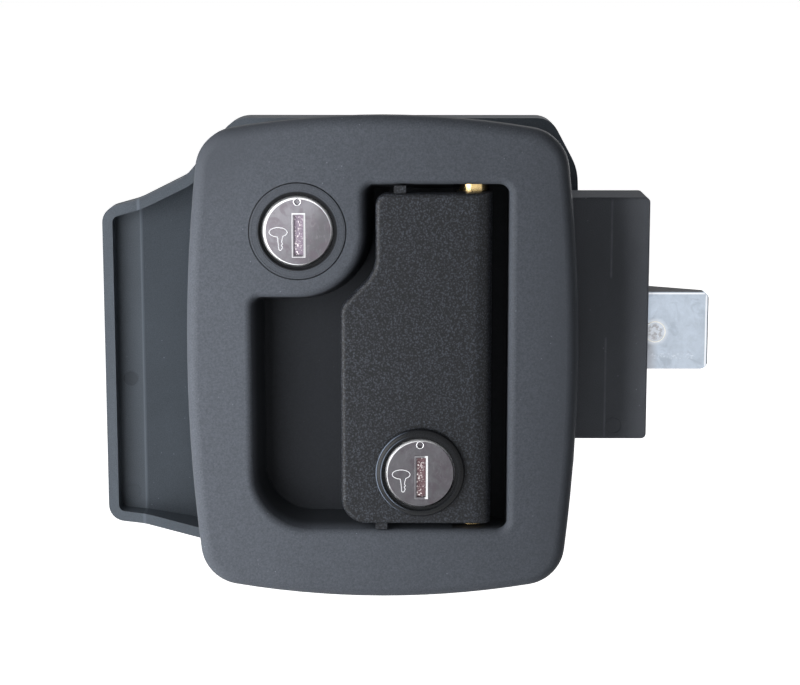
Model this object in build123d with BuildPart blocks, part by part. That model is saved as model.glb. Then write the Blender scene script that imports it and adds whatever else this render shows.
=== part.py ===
from build123d import *
import os
from math import asin, cos, degrees, radians, sin, tan

os.makedirs("parts", exist_ok=True)

# Door
door_t = 38.1

# Exterior bezel: outline, flange and gasket
bezel_half_w = 48.3
bezel_half_h = 60.3
bow_x = 3.74
bow_z = 4.54
bezel_corner_r = 10.5
bezel_edge_r = 3.0
flange_t = 6.5
gasket_w = 4.0
gasket_t = 1.2
gasket_inset = 3.0
gasket_gap = 0.15

# Pocket
mouth_left, mouth_right = -31.9, 31.0
mouth_top, mouth_low = 43.7, -42.6
mouth_r = 2.5
mouth_heel_r = 14.3
mouth_step_r = 2.2
notch_r = 16.4
lip_r = 2.0
lip_depth = 2.2
pocket_draft = 11.0
tub_wall = 2.4
tub_floor = 6.5
tub_floor_t = 2.2
lock_boss_r = 13.2
bay_gap = 0.9

# Screw posts and case bosses
post_x, post_z = 31.0, 43.2
post_r = 3.6
post_end = 31.4
post_hole_r = 1.95
post_hole_y = 12.0
ear_xs = (-2.0, 21.0)
ear_low_xs = (-24.0, 16.0)
ear_out = 5.3
ear_y = 22.0
ear_t = 3.0
ear_r = 3.4
ear_hole_r = 1.7
boss_r = 3.2
boss_hole_r = 1.5
boss_hole_y = 11.0

# Fits shared by several pieces
seat_gap = 0.3
turn_fit = 0.05
press_fit = 0.02
sink = 0.5

# Locks
bolt_key_x, bolt_key_z = -20.66, 32.3
pull_key_x, pull_key_z = 9.3, -27.5
plug_r = 8.65
disc_t = 2.6
stem_r = 6.0
disc_gap = 0.35
rebate_w = 0.75
rebate_t = 0.9
rim_w = 0.45
slot_x, slot_z = 0.3, -0.95
slot_w, slot_h = 2.3, 9.9
slot_depth = 5.0
slot_rim_w = 0.5
slot_rim_t = 0.2
dimple_z = 7.2
dimple_r = 0.75
dimple_depth = 0.9
leaf_set = 1.2
leaf_t = 0.7
leaf_gap = 0.05
clip_t = 0.9
clip_gap = 0.05
clip_groove = 0.8
clip_grip = 0.6

# Handle lock
pull_proud = 1.9
pull_collar_r = 11.1
pull_body_r = 9.6
pull_crown_r = 1.5
pull_plug_set = 0.25
pull_body_y = 0.6
pull_stem_y = 0.9
pull_clip_y = -1.4
pull_clip_r = 11.8
cam_t = 1.5
cam_gap = 0.1
cam_r = 6.4
cam_reach = 12.5
cam_w = 8.0
cam_tip_r = 1.5
cam_square = 5.2
cam_fit = 0.05
cam_head_r = 3.6
cam_head_t = 1.4
cam_screw_r = 1.3
cam_screw_len = 4.6

# Deadbolt lock
dead_collar_r = 11.9
dead_collar_t = 1.6
dead_body_r = 9.9
dead_crown_r = 0.3
dead_plug_set = 0.1
dead_stem_y = 10.2
dead_clip_r = 11.2
dead_clip_y = 8.75
bar_w, bar_t = 4.4, 1.5
bar_start, bar_end = 6.2, 17.0

# Pull handle and its hinge
hinge_x, hinge_y = 22.6, 1.9
pin_r = 1.9
pin_end_c = 0.3
barrel_r = 4.3
barrel_core_r = 2.3
bush_r = 2.9
bush_len = 7.8
bush_flange_r = 3.65
pull_front, pull_back = -7.5, -3.3
pull_left, pull_right = -10.2, 26.9
pull_upper = -1.6
pull_top, pull_low = 41.6, -40.8
waist_low, waist_top = 13.8, 22.5
pull_corner_r = 3.0
pull_heel_r = 6.3
waist_low_r = 4.5
waist_top_r = 9.0
pull_soft_r = 1.2
pull_roll_r = 4.4
pad_r = 12.4
pad_t = 1.8
nub_w, nub_t = 2.9, 2.0
nub_up_x, nub_low_x = 4.3, -0.3
nub_y = -6.4
nub_gap = 0.55

# Drive arms of the handle and the lever
pull_angle = 40.0
pull_arm = 23.7
nose_r = 2.2
arm_z = 9.3
arm_t = 4.4
arm_gap = 0.4
arm_play = 0.8
drive_gap = 0.58

# Latch case
case_front = 12.0
case_t = 19.05
case_wall = 2.1
case_face_t = 2.8
cover_t = 2.7
case_left, case_end = -34.5, 67.2
case_step = 30.0
case_top, case_low, case_mid = 38.66, -23.3, -8.7
case_corner_r = 1.3
case_edge_r = 0.6
cover_edge = 0.5
end_wall = 3.0
guide_start = 46.0
guide_t = 3.0
boss_in = 4.6
case_boss_r = 2.7
top_boss_x = 34.0
case_pilot_r = 1.25
case_pilot = 9.0
cover_hole_r = 1.45

# Latch bolt and its spring
bolt_low, bolt_top = -5.7, 14.3
bolt_t = 13.0
bolt_tip, bolt_tail = 82.9, 16.5
bolt_corner_r = 1.8
bolt_edge_r = 0.6
tip_t = 2.5
bevel_start = 64.5
slide_gap = 0.3
spring_seat = -13.0
seat_t = 3.0
seat_h = 14.0
peg_r = 2.5
seat_peg = 4.5
bolt_peg = 8.0
wire_r = 0.5
coil_r = 3.35
coil_turns = 7
coil_gap = 0.05

# Deadbolt and its crank
dead_low, dead_top = 18.6, 32.6
dead_tip = 66.6
dead_head = 40.0
dead_edge = 0.8
dead_plate_t = 3.0
dead_tail_top = 27.2
dead_fork = 1.9
dead_foot = 3.2
crank = 10.0
crank_w = 6.6
hub_r = 4.0
hub_fit = 0.05
crank_pin_r = 2.2
crank_gap = 0.35
crank_lift = 0.2
crank_pin_over = 0.9
square = 4.6
square_fit = 0.05

# Inside plate
plate_t = 14.4
plate_wall = 2.7
face_wall = 2.4
plate_soft_r = 2.0
wing_soft_r = 1.8
plate_left, plate_right = -39.5, 52.3
plate_top, plate_low = 56.8, -60.0
corner_x = 43.6
corner_r = 6.0
shoulder_x, shoulder_z = 50.7, 43.6
shoulder_low = -37.0
shoulder_r = 14.0
side_r = 300.0
wing_t = 8.0
wing_w = 22.2
wing_top, wing_low = 32.6, -51.6
flare_x, flare_top = -52.5, 41.4
flare_low_x = -38.0
ridge_w = 9.6
ridge_rise = 2.7
ridge_fall = 1.1
slope_w = 17.1
wing_corner_r = 4.5
flare_r = 20.0
knee_r = 8.0
heel_r = 12.0
screw_boss_r = 5.8
screw_boss_t = 6.5
post_sleeve_r = 4.0
head_gap = 0.3
head_sink = 4.5

# Inside lever
well_left, well_right = -32.0, 29.0
well_top, well_low = 20.0, -22.0
well_depth = 10.9
well_wall = 2.2
well_r = 2.0
well_soft_r = 1.2
lever_set = 0.9
lever_t = 3.6
lever_drop = 6.3
lever_pin_r = 1.6
lever_barrel_r = 3.9
lever_gap = 1.2
lever_left = -9.0
lever_corner_r = 4.0
lever_soft_r = 1.0
lever_roll_r = 3.4
lever_z = -0.7
lever_nose_y = 22.0

# Thumb turn
knob_r = 9.5
knob_t = 2.4
knob_soft_r = 0.8
knob_gap = 0.25
knob_boss_r = 7.5
grip_w, grip_t, grip_h = 22.0, 6.4, 9.6
grip_soft_r = 1.6
spindle_r = 3.4
spindle_fit = 0.06
spindle_big = 4.5
spindle_step = 5.6
knob_clip_depth = 4.6
knob_clip_r = 7.0
knob_clip_t = 0.7

# Screws
cover_head_r, cover_head_t, cover_shank_r, cover_len = 2.5, 1.7, 1.2, 10.5
case_head_r, case_head_t, case_shank_r, case_screw_end = 2.8, 1.8, 1.45, 11.5
mount_head_r, mount_head_t, mount_shank_r, mount_end = 3.8, 2.6, 1.9, 13.0
mount_hole_r = 2.1

# Sizes that follow from the ones above
side_x = bezel_half_w - bow_x
side_z = bezel_half_h - bow_z
tub_back = tub_floor + tub_floor_t
pull_lock_front = pull_front - pull_proud
case_back = case_front + case_t
cover_front = case_back - cover_t
case_inner = case_front + case_face_t
bolt_front = (case_inner + cover_front - bolt_t) / 2
bolt_back = bolt_front + bolt_t
bolt_y = (bolt_front + bolt_back) / 2
bolt_z = (bolt_low + bolt_top) / 2
bay_left = hinge_x - barrel_r - bay_gap
throw = pull_arm * sin(radians(pull_angle))
nose_y = hinge_y + pull_arm
drive_x = hinge_x - nose_r - drive_gap
slam_x = hinge_x + nose_r + throw + drive_gap
crank_dx = crank * sin(radians(45))
crank_front = case_inner + crank_lift
crank_back = bolt_y - dead_plate_t / 2 - seat_gap
plate_face = door_t + plate_t
well_floor = plate_face - well_depth
lever_front = plate_face - lever_set
lever_y = plate_face - lever_drop
lever_arm = lever_y - lever_nose_y
lever_angle = degrees(asin(throw / lever_arm))
clip_at = plate_face - knob_clip_depth
wing_x = flare_x - wing_w
ridge_x = wing_x + ridge_w
ridge_end = ridge_x + slope_w
screw_seat = plate_face - head_sink
ear_at = [(x, case_top + ear_out) for x in ear_xs] + [(x, case_mid - ear_out) for x in ear_low_xs]
post_at = [(x, z) for x in (-post_x, post_x) for z in (-post_z, post_z)]
cover_screw_at = (
    (case_left + boss_in, case_top - boss_in),
    (case_left + boss_in, case_mid + boss_in),
    (case_step + boss_in, case_low + boss_in),
    (case_end - end_wall - case_boss_r + sink, case_low + boss_in),
    (top_boss_x, case_top - boss_in),
)


def at(y):
    return Plane.XZ.offset(-y)


# Left edge of the slot that an arm sweeps, at a distance from its hinge
def sweep_left(reach, angle):
    turn = radians(angle)
    return hinge_x - reach * tan(turn) - nose_r / cos(turn) - arm_play


def arm_slot(z, reach, angle):
    left, right = sweep_left(reach, angle), hinge_x + nose_r + arm_play
    with BuildSketch() as slot:
        with Locations(((left + right) / 2, z)):
            Rectangle(right - left, arm_t + 2 * arm_gap)
    return slot.sketch_local


def bowed_outline(inset=0.0):
    x, z = side_x - inset, side_z - inset
    w, h = bezel_half_w - inset, bezel_half_h - inset
    with BuildSketch() as outline:
        with BuildLine():
            ThreePointArc((-x, z), (0, h), (x, z))
            ThreePointArc((x, z), (w, 0), (x, -z))
            ThreePointArc((x, -z), (0, -h), (-x, -z))
            ThreePointArc((-x, -z), (-w, 0), (-x, z))
        make_face()
        fillet(outline.vertices(), radius=bezel_corner_r - inset)
    return outline.sketch_local


def mouth_outline():
    step_z = bolt_key_z - notch_r
    with BuildSketch() as outline:
        with BuildLine():
            FilletPolyline(
                (bolt_key_x + notch_r, mouth_top),
                (mouth_right, mouth_top),
                (mouth_right, mouth_low),
                (mouth_left, mouth_low),
                (mouth_left, step_z),
                (bolt_key_x + notch_r, step_z),
                radius=(mouth_r, mouth_r, mouth_r, mouth_heel_r, mouth_step_r, notch_r - 0.1),
                close=True,
            )
        make_face()
    return outline.sketch_local


# Gasket ring behind the flange
with BuildPart() as bezel_gasket:
    with BuildSketch(at(0)):
        add(bowed_outline(gasket_inset + gasket_gap))
        add(bowed_outline(gasket_inset + gasket_w - gasket_gap), mode=Mode.SUBTRACT)
    extrude(amount=gasket_t)

# Exterior bezel with its pocket
with BuildPart() as exterior_bezel:
    with BuildSketch(at(0)):
        add(bowed_outline())
    extrude(amount=flange_t)
    fillet(exterior_bezel.faces().sort_by(Axis.Y)[0].edges(), radius=bezel_edge_r)
    with BuildSketch(at(tub_back)):
        add(mouth_outline())
        offset(amount=tub_wall, mode=Mode.REPLACE)
        with Locations((bolt_key_x, bolt_key_z)):
            Circle(lock_boss_r)
    extrude(amount=tub_back)
    with BuildSketch(at(post_end)):
        with Locations(*post_at):
            Circle(post_r)
    extrude(amount=post_end)
    with BuildSketch(at(ear_y)):
        with Locations(*ear_at):
            Circle(boss_r)
    extrude(amount=ear_y - tub_floor - sink)
    with BuildSketch(at(-flange_t)):
        add(mouth_outline())
    extrude(amount=-lip_depth, mode=Mode.SUBTRACT)
    lip = exterior_bezel.faces().sort_by(Axis.Y)[0].inner_wires()[0].edges()
    fillet(lip, radius=lip_r)
    with BuildSketch(at(lip_depth - flange_t)):
        add(mouth_outline())
    extrude(amount=lip_depth - flange_t - tub_floor, taper=pocket_draft, mode=Mode.SUBTRACT)
    # Straight bay for the hinge
    with BuildSketch(at(tub_floor)):
        with Locations(((bay_left + mouth_right) / 2, (mouth_top + mouth_low) / 2)):
            Rectangle(mouth_right - bay_left, mouth_top - mouth_low)
    extrude(amount=tub_floor + flange_t - lip_depth, mode=Mode.SUBTRACT)
    # Hinge pin bores
    with BuildSketch(Plane.XY.offset(mouth_low - tub_wall - sink)):
        with Locations((hinge_x, hinge_y)):
            Circle(pin_r + press_fit)
    extrude(amount=mouth_top - mouth_low + 2 * (tub_wall + sink), mode=Mode.SUBTRACT)
    # Arm window in the floor
    with BuildSketch(at(tub_back)):
        add(arm_slot(arm_z, tub_back - hinge_y, pull_angle))
    extrude(amount=tub_floor_t + sink, mode=Mode.SUBTRACT)
    # Deadbolt lock seat
    with BuildSketch(at(-flange_t)):
        with Locations((bolt_key_x, bolt_key_z)):
            Circle(dead_collar_r + 2 * turn_fit)
    extrude(amount=-dead_collar_t, mode=Mode.SUBTRACT)
    with BuildSketch(at(-flange_t)):
        with Locations((bolt_key_x, bolt_key_z)):
            Circle(dead_body_r + turn_fit)
    extrude(amount=-(flange_t + tub_back), mode=Mode.SUBTRACT)
    # Gasket groove and pilot holes
    with BuildSketch(at(0)):
        add(bowed_outline(gasket_inset))
        add(bowed_outline(gasket_inset + gasket_w), mode=Mode.SUBTRACT)
    extrude(amount=gasket_t, mode=Mode.SUBTRACT)
    with BuildSketch(at(post_end)):
        with Locations(*post_at):
            Circle(post_hole_r)
    extrude(amount=post_end - post_hole_y, mode=Mode.SUBTRACT)
    with BuildSketch(at(ear_y)):
        with Locations(*ear_at):
            Circle(boss_hole_r)
    extrude(amount=ear_y - boss_hole_y, mode=Mode.SUBTRACT)

# Pull handle
with BuildPart() as pull_handle:
    pull_far = pull_right + 2 * pull_soft_r
    pull_deep = hinge_y + barrel_r + sink
    with BuildSketch(at(pull_deep)):
        with BuildLine():
            FilletPolyline(
                (pull_upper, pull_top),
                (pull_far, pull_top),
                (pull_far, pull_low),
                (pull_left, pull_low),
                (pull_left, waist_low),
                (pull_upper, waist_top),
                radius=(pull_corner_r, 0.4, 0.4, pull_heel_r, waist_low_r, waist_top_r),
                close=True,
            )
        make_face()
    extrude(amount=pull_deep - pull_front)
    fillet(pull_handle.faces().sort_by(Axis.Y)[0].edges(), radius=pull_soft_r)
    with BuildSketch(Plane.XY.offset(pull_low)) as section:
        with Locations(((pull_left + pull_right) / 2, (pull_front + pull_back) / 2)):
            Rectangle(pull_right - pull_left, pull_back - pull_front)
        with Locations(((hinge_x - barrel_r + pull_right) / 2, (pull_front + hinge_y) / 2)):
            Rectangle(pull_right - hinge_x + barrel_r, hinge_y - pull_front)
        with Locations((hinge_x, hinge_y)):
            Circle(barrel_r)
        fillet(
            section.vertices().sort_by_distance((pull_right, pull_front))[0], radius=pull_roll_r
        )
    extrude(amount=pull_top - pull_low, mode=Mode.INTERSECT)
    with BuildSketch(at(pull_back + pad_t)):
        with Locations((pull_key_x, pull_key_z)):
            Circle(pad_r)
    extrude(amount=pad_t + sink)
    # Drive arm
    with BuildSketch(Plane.XY.offset(arm_z - arm_t / 2)):
        with Locations((hinge_x, (hinge_y + nose_y) / 2)):
            Rectangle(2 * nose_r, pull_arm)
        with Locations((hinge_x, nose_y)):
            Circle(nose_r)
    extrude(amount=arm_t)
    # Stop nubs on both ends
    for x, edge, wall in ((nub_up_x, pull_top, mouth_top), (nub_low_x, pull_low, mouth_low)):
        reach = wall - edge - (nub_gap if wall > 0 else -nub_gap)
        with BuildSketch(at(nub_y + nub_t)):
            with Locations((x, edge + reach / 2)):
                Rectangle(nub_w, abs(reach) + 2 * seat_gap)
        extrude(amount=nub_t)
    # Bush and pin bores
    with BuildSketch(Plane.XY.offset(pull_low)):
        with Locations((hinge_x, hinge_y)):
            Circle(barrel_core_r)
    extrude(amount=pull_top - pull_low, mode=Mode.SUBTRACT)
    for z, way in ((pull_low, 1), (pull_top, -1)):
        with BuildSketch(Plane.XY.offset(z)):
            with Locations((hinge_x, hinge_y)):
                Circle(bush_r + turn_fit)
        extrude(amount=way * (bush_len + seat_gap), mode=Mode.SUBTRACT)
    with BuildSketch(at(pull_body_y + sink)):
        with Locations((pull_key_x, pull_key_z)):
            Circle(pull_body_r + turn_fit)
    extrude(amount=pull_body_y + sink - pull_front, mode=Mode.SUBTRACT)

# Hinge pin and its two bushes
with BuildPart() as handle_pin:
    with BuildSketch(Plane.XY.offset(mouth_low - tub_wall)):
        with Locations((hinge_x, hinge_y)):
            Circle(pin_r)
    extrude(amount=mouth_top - mouth_low + 2 * tub_wall)
    chamfer(handle_pin.edges().filter_by(GeomType.CIRCLE), length=pin_end_c)

with BuildPart() as pin_bushes:
    for seat, wall, way in ((pull_top, mouth_top, 1), (pull_low, mouth_low, -1)):
        flange_h = abs(wall - seat) - seat_gap
        with BuildSketch(Plane.XY.offset(seat)):
            with Locations((hinge_x, hinge_y)):
                Circle(bush_flange_r)
        extrude(amount=way * flange_h)
        with BuildSketch(Plane.XY.offset(seat)):
            with Locations((hinge_x, hinge_y)):
                Circle(bush_r)
        extrude(amount=-way * bush_len)
    with BuildSketch(Plane.XY.offset(mouth_low)):
        with Locations((hinge_x, hinge_y)):
            Circle(pin_r + turn_fit)
    extrude(amount=mouth_top - mouth_low, mode=Mode.SUBTRACT)


# Body of a lock, with a seat for its plug
def lock_sleeve(x, z, front, seat, collar_r, body_r, back, crown_r, groove_y):
    with BuildPart() as sleeve:
        with BuildSketch(at(seat)):
            with Locations((x, z)):
                Circle(collar_r)
        extrude(amount=seat - front)
        fillet(sleeve.edges().filter_by(GeomType.CIRCLE).sort_by(Axis.Y)[0], radius=crown_r)
        with BuildSketch(at(back)):
            with Locations((x, z)):
                Circle(body_r)
        extrude(amount=back - seat)
        with BuildSketch(at(groove_y + clip_t + 2 * clip_gap)):
            with Locations((x, z)):
                Circle(body_r)
                Circle(body_r - clip_groove, mode=Mode.SUBTRACT)
        extrude(amount=clip_t + 2 * clip_gap, mode=Mode.SUBTRACT)
        with BuildSketch(at(back)):
            with Locations((x, z)):
                Circle(stem_r + turn_fit)
        extrude(amount=back - front, mode=Mode.SUBTRACT)
        with BuildSketch(at(front)):
            with Locations((x, z)):
                Circle(plug_r + turn_fit)
        extrude(amount=-(disc_t + disc_gap), mode=Mode.SUBTRACT)
        with BuildSketch(at(front)):
            with Locations((x, z)):
                Circle(plug_r + turn_fit + rebate_w)
        extrude(amount=-rebate_t, mode=Mode.SUBTRACT)
    return sleeve


# Turning plug with keyway, raised border and index hole
def lock_plug(x, z, front, back):
    with BuildPart() as plug:
        with BuildSketch(at(front + disc_t)):
            with Locations((x, z)):
                Circle(plug_r)
        extrude(amount=disc_t)
        chamfer(plug.edges().filter_by(GeomType.CIRCLE).sort_by(Axis.Y)[0], length=rim_w)
        with BuildSketch(at(back)):
            with Locations((x, z)):
                Circle(stem_r)
        extrude(amount=back - front - disc_t)
        with BuildSketch(at(front)):
            with Locations((x + slot_x, z + slot_z)):
                Rectangle(slot_w + 2 * slot_rim_w, slot_h + 2 * slot_rim_w)
        extrude(amount=slot_rim_t)
        with BuildSketch(at(front - slot_rim_t)):
            with Locations((x + slot_x, z + slot_z)):
                Rectangle(slot_w, slot_h)
        extrude(amount=-(slot_depth + slot_rim_t), mode=Mode.SUBTRACT)
        with BuildSketch(at(front)):
            with Locations((x, z + dimple_z)):
                Circle(dimple_r)
        extrude(amount=-dimple_depth, mode=Mode.SUBTRACT)
    return plug


def shutter(x, z, front):
    with BuildPart() as leaf:
        with BuildSketch(at(front + leaf_set)):
            with Locations((x + slot_x, z + slot_z)):
                Rectangle(slot_w - 2 * leaf_gap, slot_h - 2 * leaf_gap)
        extrude(amount=leaf_t)
    return leaf


# Open retaining ring; the opening faces +X or -Z
def horseshoe(x, z, inner, outer, front, thick, sideways=False):
    gap = 2 * (inner - clip_grip)
    with BuildPart() as clip:
        with BuildSketch(at(front + thick)):
            with Locations((x, z)):
                Circle(outer)
                Circle(inner, mode=Mode.SUBTRACT)
            if sideways:
                with Locations((x + outer, z)):
                    Rectangle(2 * outer, gap, mode=Mode.SUBTRACT)
            else:
                with Locations((x, z - outer)):
                    Rectangle(gap, 2 * outer, mode=Mode.SUBTRACT)
        extrude(amount=thick)
    return clip


# Handle lock
handle_lock_sleeve = lock_sleeve(
    pull_key_x, pull_key_z, pull_lock_front, pull_front, pull_collar_r, pull_body_r,
    pull_body_y, pull_crown_r, pull_clip_y,
)
with BuildPart() as handle_lock_plug:
    add(lock_plug(pull_key_x, pull_key_z, pull_lock_front + pull_plug_set, pull_stem_y).part)
    with BuildSketch(at(pull_stem_y + cam_t + cam_gap)):
        with Locations((pull_key_x, pull_key_z)):
            Rectangle(cam_square, cam_square)
    extrude(amount=cam_t + cam_gap)
    with BuildSketch(at(pull_stem_y + cam_t + cam_gap)):
        with Locations((pull_key_x, pull_key_z)):
            Circle(cam_screw_r + turn_fit)
    extrude(amount=cam_screw_len + cam_gap, mode=Mode.SUBTRACT)
handle_lock_shutter = shutter(pull_key_x, pull_key_z, pull_lock_front + pull_plug_set)
handle_lock_clip = horseshoe(
    pull_key_x, pull_key_z, pull_body_r - clip_groove + 2 * clip_gap, pull_clip_r,
    pull_clip_y + clip_gap, clip_t, sideways=True,
)

with BuildPart() as handle_lock_cam:
    with BuildSketch(at(pull_stem_y + cam_t + cam_gap)) as cam_shape:
        with Locations((pull_key_x, pull_key_z)):
            Circle(cam_r)
        with Locations((pull_key_x - cam_reach / 2, pull_key_z)):
            Rectangle(cam_reach, cam_w)
        fillet(cam_shape.vertices().group_by(Axis.X)[0], radius=cam_tip_r)
        with Locations((pull_key_x, pull_key_z)):
            Rectangle(cam_square + 2 * cam_fit, cam_square + 2 * cam_fit, mode=Mode.SUBTRACT)
    extrude(amount=cam_t)

with BuildPart() as cam_screw:
    cam_seat = pull_stem_y + cam_t + 2 * cam_gap
    with BuildSketch(at(cam_seat + cam_head_t)):
        with Locations((pull_key_x, pull_key_z)):
            Circle(cam_head_r)
    extrude(amount=cam_head_t)
    fillet(cam_screw.edges().sort_by(Axis.Y)[-1], radius=cam_head_t / 3)
    with BuildSketch(at(cam_seat)):
        with Locations((pull_key_x, pull_key_z)):
            Circle(cam_screw_r)
    extrude(amount=cam_screw_len)

# Deadbolt lock
deadbolt_lock_sleeve = lock_sleeve(
    bolt_key_x, bolt_key_z, -flange_t, dead_collar_t - flange_t, dead_collar_r, dead_body_r,
    dead_stem_y, dead_crown_r, dead_clip_y,
)
with BuildPart() as deadbolt_lock_plug:
    add(lock_plug(bolt_key_x, bolt_key_z, dead_plug_set - flange_t, dead_stem_y).part)
    with BuildSketch(at(dead_stem_y)):
        with Locations((bolt_key_x, bolt_key_z)):
            Rectangle(bar_t + 2 * turn_fit, bar_w + 2 * turn_fit)
    extrude(amount=dead_stem_y - bar_start + 2 * turn_fit, mode=Mode.SUBTRACT)
deadbolt_lock_shutter = shutter(bolt_key_x, bolt_key_z, dead_plug_set - flange_t)
deadbolt_lock_clip = horseshoe(
    bolt_key_x, bolt_key_z, dead_body_r - clip_groove + 2 * clip_gap, dead_clip_r,
    dead_clip_y + clip_gap, clip_t,
)

with BuildPart() as deadbolt_tailpiece:
    with BuildSketch(at(bar_end)):
        with Locations((bolt_key_x, bolt_key_z)):
            Rectangle(bar_t, bar_w)
    extrude(amount=bar_end - bar_start)


# L-shaped outline of the case, rounded at the door's edge
def case_outline():
    with BuildSketch() as outline:
        with BuildLine():
            Polyline(
                (case_left, case_top),
                (case_end, case_top),
                (case_end, case_low),
                (case_step, case_low),
                (case_step, case_mid),
                (case_left, case_mid),
                close=True,
            )
        make_face()
        fillet(outline.vertices().group_by(Axis.X)[-1], radius=case_corner_r)
    return outline.sketch_local


# Latch case with its guides, windows and ears
with BuildPart() as latch_case:
    with BuildSketch(at(cover_front)):
        add(case_outline())
    extrude(amount=cover_front - case_front)
    fillet(latch_case.faces().sort_by(Axis.Y)[0].edges(), radius=case_edge_r)
    with BuildSketch(at(cover_front)):
        for left, top, right, floor in (
            (case_left + case_wall, case_top, case_end - end_wall, case_mid),
            (case_step + case_wall, case_top, case_end - end_wall, case_low),
        ):
            high, deep = top - case_wall, floor + case_wall
            with Locations(((left + right) / 2, (high + deep) / 2)):
                Rectangle(right - left, high - deep)
    extrude(amount=cover_front - case_inner, mode=Mode.SUBTRACT)
    # Guide ribs, spring seat and screw bosses
    with BuildSketch(at(cover_front)):
        for floor, top in (
            (bolt_top + slide_gap, dead_low - slide_gap),
            (bolt_low - slide_gap - guide_t, bolt_low - slide_gap),
            (dead_top + slide_gap, case_top - case_wall),
        ):
            with Locations(((guide_start + case_end - end_wall) / 2, (floor + top) / 2)):
                Rectangle(case_end - end_wall - guide_start, top - floor)
        with Locations((spring_seat - seat_t / 2, bolt_z)):
            Rectangle(seat_t, seat_h)
        with Locations(*cover_screw_at):
            Circle(case_boss_r)
    extrude(amount=cover_front - case_inner)
    with BuildSketch(Plane.YZ.offset(spring_seat)):
        with Locations((bolt_y, bolt_z)):
            Circle(peg_r)
    extrude(amount=seat_peg)
    # Ears
    with BuildSketch(at(ear_y + ear_t)):
        with Locations(*ear_at):
            Circle(ear_r)
        for x, z in ear_at:
            edge = case_top - sink if z > 0 else case_mid + sink
            with Locations((x, (z + edge) / 2)):
                Rectangle(2 * ear_r, abs(z - edge))
        with Locations(*ear_at):
            Circle(ear_hole_r, mode=Mode.SUBTRACT)
    extrude(amount=ear_t)
    # Bolt windows in the end wall
    with BuildSketch(Plane.YZ.offset(case_end)):
        for floor, top in ((bolt_low, bolt_top), (dead_low, dead_top)):
            with Locations((bolt_y, (floor + top) / 2)):
                Rectangle(bolt_t + 2 * slide_gap, top - floor + 2 * slide_gap)
    extrude(amount=-end_wall, mode=Mode.SUBTRACT)
    # Arm window, crank journal and screw pilots
    with BuildSketch(at(case_inner)):
        add(arm_slot(arm_z, case_inner - hinge_y, pull_angle))
        with Locations((bolt_key_x, bolt_key_z)):
            Circle(hub_r + hub_fit)
    extrude(amount=case_face_t, mode=Mode.SUBTRACT)
    with BuildSketch(at(cover_front)):
        with Locations(*cover_screw_at):
            Circle(case_pilot_r)
    extrude(amount=case_pilot, mode=Mode.SUBTRACT)

with BuildPart() as case_cover:
    with BuildSketch(at(case_back)):
        add(case_outline())
        add(arm_slot(lever_z, lever_y - cover_front, lever_angle), mode=Mode.SUBTRACT)
        with Locations((bolt_key_x, bolt_key_z)):
            Circle(spindle_r + spindle_fit, mode=Mode.SUBTRACT)
        with Locations(*cover_screw_at):
            Circle(cover_hole_r, mode=Mode.SUBTRACT)
    extrude(amount=cover_t)
    chamfer(case_cover.faces().sort_by(Axis.Y)[-1].outer_wire().edges(), length=cover_edge)


# Pan head screws along the door's thickness
def screws(places, seat, head_r, head_t, shank_r, shank_end):
    with BuildPart() as group:
        with BuildSketch(at(seat + head_t)):
            with Locations(*places):
                Circle(head_r)
        extrude(amount=head_t)
        fillet(group.faces().group_by(Axis.Y)[-1].edges(), radius=head_t * 0.4)
        with BuildSketch(at(seat)):
            with Locations(*places):
                Circle(shank_r)
        extrude(amount=seat - shank_end)
    return group


cover_screws = screws(
    cover_screw_at, case_back, cover_head_r, cover_head_t, cover_shank_r, case_back - cover_len
)
case_screws = screws(
    ear_at, ear_y + ear_t, case_head_r, case_head_t, case_shank_r, case_screw_end
)
mounting_screws = screws(
    post_at, screw_seat, mount_head_r, mount_head_t, mount_shank_r, mount_end
)

# Latch bolt with its bevel and arm windows
with BuildPart() as latch_bolt:
    with BuildSketch(Plane.XY.offset(bolt_low)):
        with BuildLine():
            Polyline(
                (bolt_tail, bolt_front),
                (bolt_tip, bolt_front),
                (bolt_tip, bolt_front + tip_t),
                (bevel_start, bolt_back),
                (bolt_tail, bolt_back),
                close=True,
            )
        make_face()
    extrude(amount=bolt_top - bolt_low)
    fillet(latch_bolt.edges().filter_by(Axis.Y).group_by(Axis.X)[-1], radius=bolt_corner_r)
    tip_edges = latch_bolt.faces().sort_by(Axis.Y)[0].edges().group_by(Axis.X)[-1]
    fillet(tip_edges, radius=bolt_edge_r)
    # Windows long enough for the bolt to be pushed in while both arms rest
    with BuildSketch(at(bolt_back)):
        with Locations(*(((drive_x + slam_x) / 2, z) for z in (arm_z, lever_z))):
            Rectangle(slam_x - drive_x, arm_t + 2 * arm_gap)
    extrude(amount=bolt_t, mode=Mode.SUBTRACT)
    with BuildSketch(Plane.YZ.offset(bolt_tail)):
        with Locations((bolt_y, bolt_z)):
            Circle(peg_r)
    extrude(amount=-bolt_peg)

# Return spring behind the bolt
with BuildPart() as latch_spring:
    free = bolt_tail - spring_seat - 2 * (wire_r + coil_gap)
    with BuildLine() as coil:
        Helix(
            pitch=free / coil_turns,
            height=free,
            radius=coil_r,
            center=(spring_seat + wire_r + coil_gap, bolt_y, bolt_z),
            direction=(1, 0, 0),
        )
    with BuildSketch(Plane(origin=coil.line @ 0, z_dir=coil.line % 0)):
        Circle(wire_r)
    sweep()

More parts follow.
